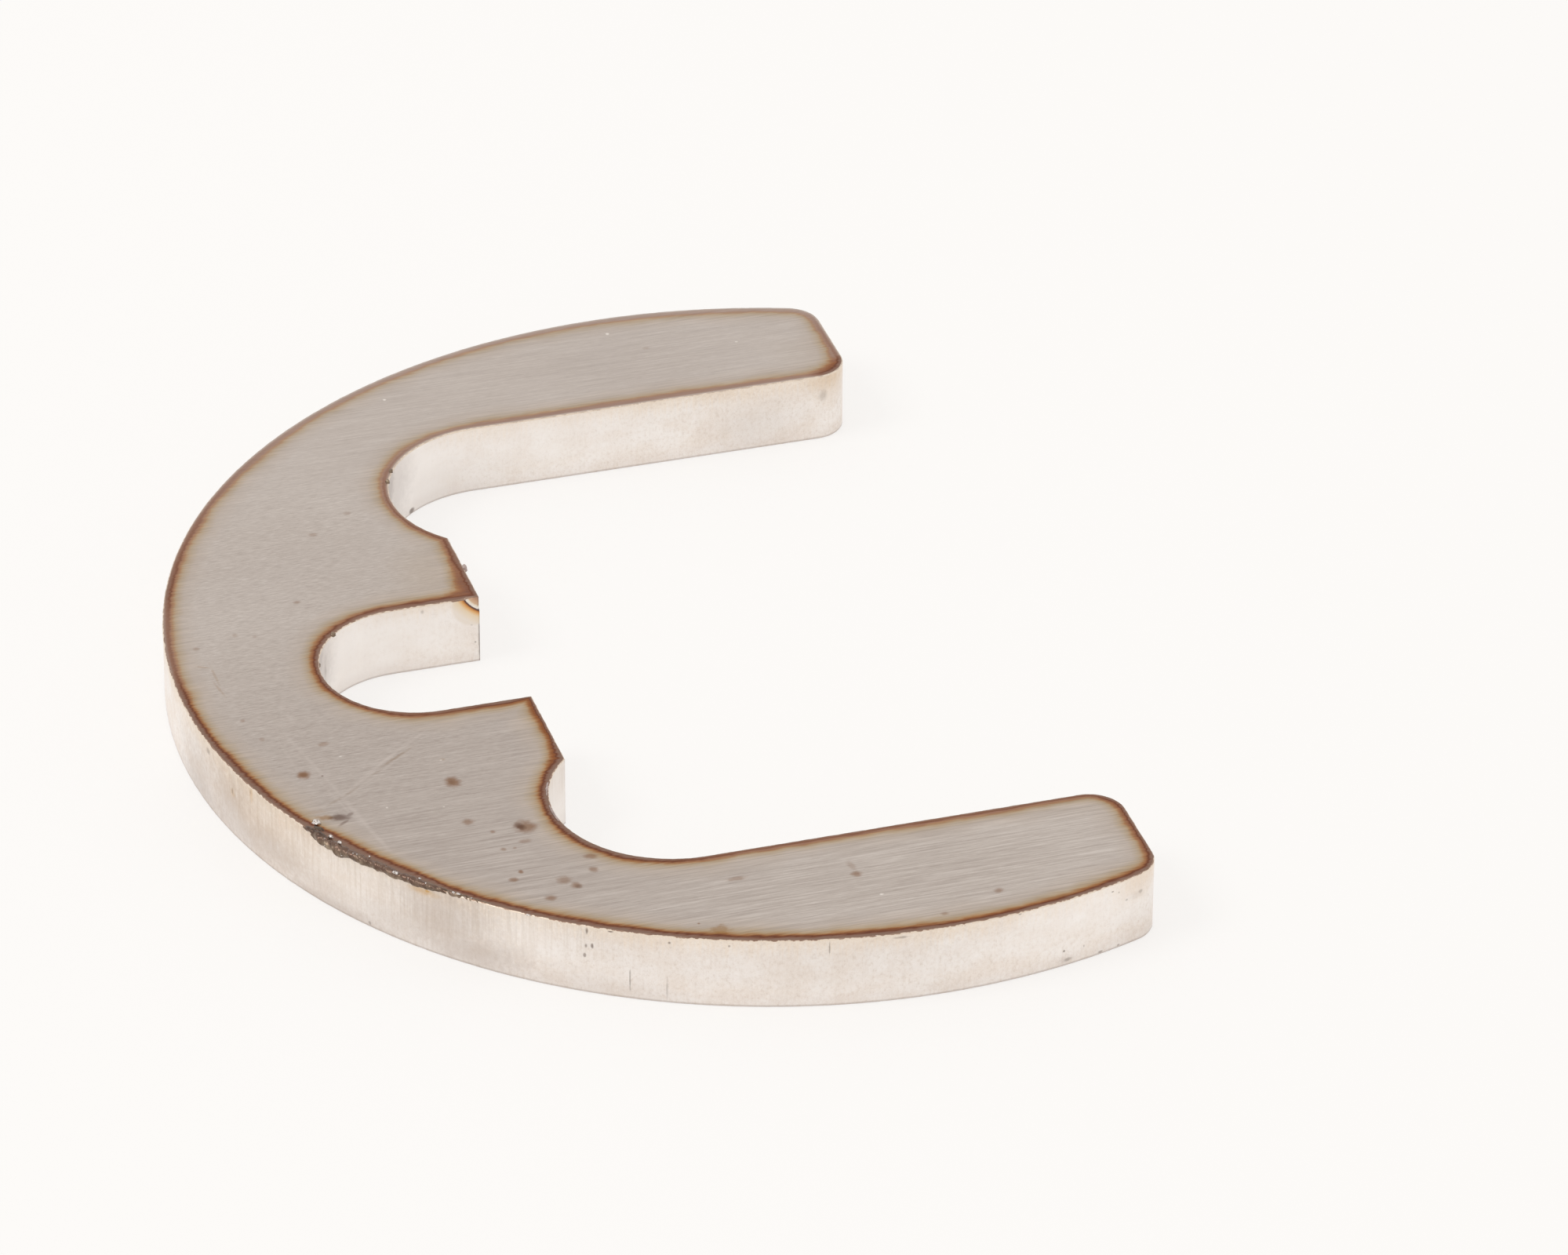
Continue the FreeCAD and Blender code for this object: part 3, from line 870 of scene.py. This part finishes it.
WALL_FLECKS = (
    on_rim(188.5, 0.4, 0.16, 0.14, 0.35), on_rim(193.7, 1.05, 0.06, 0.14, 0.4),
    on_rim(197.2, 0.25, 0.04, 0.14, 0.25), on_rim(286.2, 0.35, 0.05, 0.03, 0.5),
    on_rim(286.9, 0.5, 0.03, 0.04, 0.4), on_rim(285.0, 3.05, 0.1, 0.05, 0.5),
    on_rim(283.2, 2.5, 0.03, 0.06, 0.4), on_rim(287.0, 3.05, 0.06, 0.04, 0.45),
    on_rim(214.0, 3.0, 0.07, 0.07, 0.4),
    ((TONGUE_END, SLOT_HALF, THICKNESS - 1.9), (0.06, 0.06, 1.3), 0, 0.6, 0.3, 0.5),
    ((-11.75, SLOT_HALF, THICKNESS - 1.3), (0.05, 0.2, 0.05), 0, 0.6, 0.3, 0.5),
    ((-11.6, SLOT_HALF, THICKNESS - 2.2), (0.04, 0.2, 0.04), 0, 0.6, 0.3, 0.45),
    ((-13.9, SLOT_HALF, THICKNESS - 0.3), (0.06, 0.2, 0.08), 0, 0.7, 0.3, 0.3),
    on_rim(236.7, 0.25, 0.05, 0.12, 0.7), on_rim(237.2, 0.9, 0.05, 0.1, 0.7),
    on_rim(236.6, 0.95, 0.05, 0.08, 0.6), on_rim(236.5, 1.4, 0.05, 0.09, 0.6),
    on_rim(238.9, 0.08, 0.1, 0.05, 0.7), on_rim(244.3, 0.3, 0.05, 0.05, 0.6),
    on_rim(249.7, 0.28, 0.05, 0.05, 0.5), on_rim(240.7, 2.3, 0.03, 0.4, 0.55),
    on_rim(244.1, 2.5, 0.04, 0.4, 0.25), on_rim(258.7, 0.45, 0.03, 0.28, 0.5),
    on_rim(265.3, 0.18, 0.3, 0.05, 0.4), on_rim(276.5, 0.06, 0.06, 0.05, 0.5),
    on_rim(281.1, 2.45, 0.05, 0.05, 0.8), on_rim(281.5, 2.9, 0.14, 0.07, 0.4),
    on_rim(287.8, 1.0, 0.06, 0.05, 0.35), on_rim(289.4, 0.85, 0.08, 0.08, 0.35),
    ((8.1, LEG_INSIDE, THICKNESS - 1.0), (0.17, 0.3, 0.26), 0, 0.7, 0.3, 0.25),
    (round_place(RELIEF_CENTRE, RELIEF_RADIUS, 129, 0.17), (0.17, 0.17, 0.12), 0, 0.5, 0.3, 0.7),
    (round_place(SLOT_CENTRE, SLOT_HALF, 146, 1.9), (0.1, 0.1, 0.5), 0, 0.9, 0.6, 0.22))


# The chip at the left tongue: bare inside, with a painted highlight just within a burnt line, and a straw
# halo round it
CHIP_PATCH = ((TONGUE_END - 0.2, SLOT_HALF, THICKNESS - 0.3), (1.0, 0.45, 1.05), 0, 0.08, 0.0, 1.0)


def chip_colour(tree, place):
    """Colours across the chip, from the tongue's corner out over its rounded border."""
    parts = parts_of(tree, calc_vector(tree, "SUBTRACT", place, (TONGUE_END, 0, THICKNESS)))
    across = calc(tree, "DIVIDE", calc(tree, "ABSOLUTE", parts["X"]), CHIP_WIDTH)
    down = calc(tree, "DIVIDE", calc(tree, "ABSOLUTE", parts["Z"]), CHIP_HEIGHT)
    reach = plus(tree, calc(tree, "POWER", across, 1.3), calc(tree, "POWER", down, 1.3))
    level = times(tree, calc(tree, "POWER", reach, 1 / 1.3), 0.5)
    # The near-white stops just inside the burnt line are a painted highlight
    return colour_stops(tree, level, (
        (0.0, (160, 126, 110)), (0.2, (202, 162, 134)), (0.33, (220, 188, 158)),
        (0.37, (240, 228, 210)), (0.44, (246, 238, 230)), (0.462, (112, 84, 78)),
        (0.5, (108, 80, 70)), (0.52, (198, 128, 68)), (0.6, (230, 182, 122)),
        (0.72, (236, 216, 188)), (1.0, (240, 230, 219))))


def cut_wall():
    """The laser-cut wall: pale bare steel with fine upright ribs, warm under the top edge."""
    material, tree, shader, place = start_material("cut_wall")
    drop = below_top(tree, place)
    ribs = use_group(tree, lines_group, place=place, density=(7.0, 7.0, 0.3))["Lines"]
    mottle = grain(tree, place, (0.6, 0.6, 0.9), 4.0)
    speckle = grain(tree, place, (7.0, 7.0, 5.5), 3.0, 0.8)
    near_left = use_group(
        tree, patch_group, place=place, centre=(-22.0, -14.0, THICKNESS),
        half_size=(11.0, 11.0, 2.4), blur=0.4)["Mask"]

    pocket = join_patches(tree, place, POCKETS)
    open_wall = minus(tree, 1.0, pocket)
    wall = mix(tree, ease(tree, mottle, 0.35, 0.65), shade(247, 241, 236), shade(243, 234, 226))
    wall = mix(tree, pocket, wall, shade(252, 247, 243))
    uneven = times(tree, minus(tree, ribs, 0.5), 1.4)
    warm = ease(tree, plus(tree, drop, uneven), 0.0, 0.9, 0.6, 0.0)
    warm = times(tree, warm, ease(tree, pocket, 0.0, 1.0, 1.0, 0.0))
    wall = mix(tree, warm, wall, shade(240, 222, 200))
    # Painted shade: darker on the walls at the near left, and low on every wall toward the floor
    wall = mix(tree, times(tree, near_left, 0.3), wall, shade(216, 200, 184))
    wall = mix(tree, ease(tree, drop, 2.3, 3.1, 0.0, 0.3), wall, shade(222, 212, 206))
    ribbed = times(tree, near_left, ease(tree, drop, 1.2, 2.4, 0.55, 0.2))
    rib_strength = plus(tree, times(tree, open_wall, 0.1), ribbed)
    wall = mix(tree, times(tree, ease(tree, ribs, 0.35, 0.75), rib_strength), wall, shade(204, 188, 170))
    dots = times(tree, ease(tree, speckle, 0.48, 0.75, 0.0, 0.45), open_wall)
    wall = mix(tree, dots, wall, shade(212, 196, 182))
    # Painted glints: pale dots over the open walls
    glint_dots = times(tree, ease(tree, speckle, 0.5, 0.3, 0.0, 0.35), open_wall)
    wall = mix(tree, glint_dots, wall, shade(252, 248, 245))
    # Painted shade, greyer toward the floor on the near-left walls
    low = times(tree, near_left, ease(tree, drop, 1.5, 2.9, 0.0, 0.4))
    wall = mix(tree, low, wall, shade(196, 184, 175))
    for places, colour in (
            (WALL_PALE, shade(252, 247, 243)), (POCKET_SHADE, shade(204, 197, 193)),
            (WALL_CLOUDS_AND_SHADE, shade(192, 178, 168)), (WALL_WARM, shade(208, 166, 102)),
            (WALL_FLECKS, shade(104, 84, 72))):
        wall = mix(tree, join_patches(tree, place, places), wall, colour)
    wall = mix(tree, join_patches(tree, place, (CHIP_PATCH,)), wall, chip_colour(tree, place))

    # A dark line under the rolled edge, with a few ragged teeth, and a painted shadow along the lower
    # edge, where the wall meets the floor
    teeth = grain(tree, place, (6.0, 6.0, 1.5), 3.0)
    foot = minus(tree, drop, ease(tree, teeth, 0.66, 0.82, TOP_ROLL - 0.03, TOP_ROLL + 0.05))
    toothed = times(tree, ease(tree, foot, -0.01, 0.02, 0.75, 0.0), open_wall)
    wall = mix(tree, toothed, wall, shade(122, 92, 80))
    foot_shadow_line = ease(tree, drop, THICKNESS - 0.14, THICKNESS - 0.04, 0.0, 0.4)
    wall = mix(tree, foot_shadow_line, wall, shade(160, 144, 134))
    set_finish(tree, shader, wall, 0.7, ease(tree, mottle, 0.3, 0.7, 0.42, 0.58))
    add_bump(tree, shader, ribs, 0.02, 0.4)
    return material


def melted_rim():
    """The melted top edge: purple brown above, bare and pale below, with painted highlights as bright pin
    points.
    """
    material, tree, shader, place = start_material("melted_rim")
    drop = below_top(tree, place)
    spread = grain(tree, place, (5.0, 5.0, 2.0), 3.0)
    tone = grain(tree, place, (1.5, 1.5, 1.5), 3.0)
    glint = grain(tree, place, (9.0, 9.0, 9.0), 2.0)
    rim = mix(tree, ease(tree, tone, 0.35, 0.65), shade(138, 108, 92), shade(164, 136, 118))
    far_side = ease(tree, parts_of(tree, place)["Y"], 2.0, 13.0, 0.0, 0.75)
    rim = mix(tree, far_side, rim, shade(210, 194, 178))
    chipped = times(tree, join_patches(tree, place, (CHIP_PATCH,)), 0.08)
    melt = minus(tree, drop, plus(tree, ease(tree, spread, 0.35, 0.75, 0.0, 0.035), chipped))
    rim = mix(tree, ease(tree, melt, -0.005, 0.015), rim, shade(232, 216, 198))
    # Painted highlights: bright pin points over the rim; the same grain also raises its bump
    rim = mix(tree, ease(tree, glint, 0.66, 0.74, 0.0, 0.8), rim, shade(236, 226, 218))
    set_finish(tree, shader, rim, 0.8, ease(tree, tone, 0.3, 0.7, 0.25, 0.45))
    add_bump(tree, shader, glint, 0.02, 0.4)
    return material


# The slag's brown upper side, and its darkest places: by the large droplet and under the orange stain
SLAG_RIDGE = (
    (round_place(RIM_CENTRE, 25.2, 214.5, THICKNESS + 0.02), (0.34, 4.2, 0.17), 214.5, 0.5, 0.5, 0.75),)

SLAG_DEEP = (
    (round_place(RIM_CENTRE, 25.1, 207.2, THICKNESS), (0.35, 0.75, 0.6), 207, 0.5, 0.4, 0.7),
    (round_place(RIM_CENTRE, 25.4, 221.2, THICKNESS - 0.2), (0.2, 0.4, 0.2), 221, 0.5, 0.4, 0.6))


def frozen_melt(name, dark, middle, pale, glints, fineness, stains=()):
    """Glassy melt, mottled from dark to pale, with painted glints on its crests and stained places."""
    material, tree, shader, place = start_material(name)
    crust = grain(tree, place, (fineness, fineness, fineness), 4.0)
    glint_grain = grain(tree, place, (5.0, 5.0, 5.0), 2.0)
    melt = colour_stops(tree, crust, ((0.32, dark), (0.5, middle), (0.7, pale)))
    # Painted glints: pale spots on the crests of a grain
    melt = mix(tree, ease(tree, glint_grain, 0.66, 0.74, 0.0, glints), melt, shade(240, 232, 226))
    for places, colour in stains:
        melt = mix(tree, join_patches(tree, place, places), melt, colour)
    set_finish(tree, shader, melt, 0.75, ease(tree, crust, 0.3, 0.7, 0.15, 0.35))
    add_bump(tree, shader, crust, 0.05, 0.6)
    return material


def seen_directly(tree):
    """One where the camera, a reflection or a clear material sees a surface, else nothing."""
    paths = tree.nodes.new("ShaderNodeLightPath").outputs
    seen = larger(tree, paths["Is Camera Ray"], paths["Is Glossy Ray"])
    return larger(tree, seen, paths["Is Transmission Ray"])


def pale_floor():
    """A plain pale floor, white as the background where the camera or a reflection sees it."""
    material = bpy.data.materials.new("pale_floor")
    material.use_nodes = True
    tree = material.node_tree
    shader = tree.nodes["Principled BSDF"]
    soft = tree.nodes.new("ShaderNodeTexNoise")
    coordinates = tree.nodes.new("ShaderNodeTexCoord")
    tree.links.new(coordinates.outputs["Object"], soft.inputs["Vector"])
    soft.inputs["Scale"].default_value = 14.0
    colour = mix(tree, soft.outputs["Fac"], shade(253, 251, 248), shade(252, 250, 247))
    tree.links.new(colour, shader.inputs["Base Color"])
    shader.inputs["Roughness"].default_value = 0.9
    shader.inputs["Specular IOR Level"].default_value = 0.0
    paper = tree.nodes.new("ShaderNodeEmission")
    paper.inputs["Color"].default_value = shade(254, 252, 250)
    blend = tree.nodes.new("ShaderNodeMixShader")
    tree.links.new(times(tree, seen_directly(tree), 0.68), blend.inputs["Fac"])
    tree.links.new(shader.outputs["BSDF"], blend.inputs[1])
    tree.links.new(paper.outputs["Emission"], blend.inputs[2])
    tree.links.new(blend.outputs["Shader"], tree.nodes["Material Output"].inputs["Surface"])
    return material


# Pieces
plate = make_plate()
for finish in (brushed_face(), cut_wall(), melted_rim()):
    plate.data.materials.append(finish)
slag = make_slag()
slag.data.materials.append(frozen_melt(
    "frozen_slag", (92, 74, 60), (126, 107, 90), (158, 140, 120), 0.8, 3.4,
    ((SLAG_RIDGE, shade(104, 78, 68)), (SLAG_DEEP, shade(64, 50, 42)))))
lumps = make_melt_lumps()
lumps.data.materials.append(frozen_melt(
    "smooth_melt", (146, 128, 122), (172, 152, 146), (196, 178, 170), 0.3, 3.4))
# Bare droplets, their near-white colour a painted highlight
beads = make_glint_beads()
beads.data.materials.append(frozen_melt(
    "glint_melt", (132, 122, 114), (214, 206, 200), (252, 250, 248), 0.9, 8.0))

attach(plate, "root")
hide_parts("horseshoe_washer")
for piece in (slag, lumps, beads):
    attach(piece, "root")

# Floor, in metres from its middle, just under the washer
FLOOR_REACH = 2.0
FLOOR_HEIGHT = -0.01 * MM

floor_mesh = bmesh.new()
bmesh.ops.create_grid(floor_mesh, x_segments=2, y_segments=2, size=FLOOR_REACH)
bmesh.ops.translate(floor_mesh, verts=floor_mesh.verts, vec=(0, 0, FLOOR_HEIGHT))
floor = finish_piece(floor_mesh, "floor")
floor.data.materials.append(pale_floor())


# Camera, at the photograph's angle
AIM = Vector((0.216, -1.943, THICKNESS)) * MM
CAMERA_DISTANCE = 355.93 * MM
CAMERA_TURN = math.radians(-17.378)
CAMERA_HEIGHT = math.radians(31.789)
CAMERA_ROLL = math.radians(0.4125)
CAMERA_LENS = 194.47
CAMERA_SENSOR = 36.0

camera_data = bpy.data.cameras.new("camera")
camera_data.lens = CAMERA_LENS
camera_data.sensor_width = CAMERA_SENSOR
camera_data.clip_start = 0.01
camera = bpy.data.objects.new("camera", camera_data)
scene.collection.objects.link(camera)
facing = Matrix.Rotation(CAMERA_TURN, 4, "Z") @ Matrix.Rotation(math.pi / 2 - CAMERA_HEIGHT, 4, "X")
back = (facing.to_3x3() @ Vector((0, 0, 1))).normalized()
stand = Matrix.Translation(AIM + back * CAMERA_DISTANCE)
camera.matrix_world = stand @ facing @ Matrix.Rotation(CAMERA_ROLL, 4, "Z")
scene.camera = camera


# Light: one soft lamp to the left of the washer, and the studio round it
LAMP_PLACE = Vector((-0.5, 0.0, 0.55))
LAMP_SIZE = 0.3
LAMP_POWER = 0.9

lamp_data = bpy.data.lights.new("key_lamp", "AREA")
lamp_data.shape = "SQUARE"
lamp_data.size = LAMP_SIZE
lamp_data.energy = LAMP_POWER
lamp = bpy.data.objects.new("key_lamp", lamp_data)
scene.collection.objects.link(lamp)
lamp_turn = (-LAMP_PLACE).to_track_quat("-Z", "Y")
lamp.matrix_world = Matrix.Translation(LAMP_PLACE) @ lamp_turn.to_matrix().to_4x4()

world = bpy.data.worlds.new("studio")
world.use_nodes = True
scene.world = world
sky = world.node_tree
background = sky.nodes["Background"]
background.inputs["Color"].default_value = (1.0, 0.99, 0.98, 1.0)
feed(sky, background.inputs["Strength"], ease(sky, seen_directly(sky), 0.0, 1.0, 0.86, 1.0))

scene.view_settings.view_transform = "Standard"

bpy.context.view_layer.update()
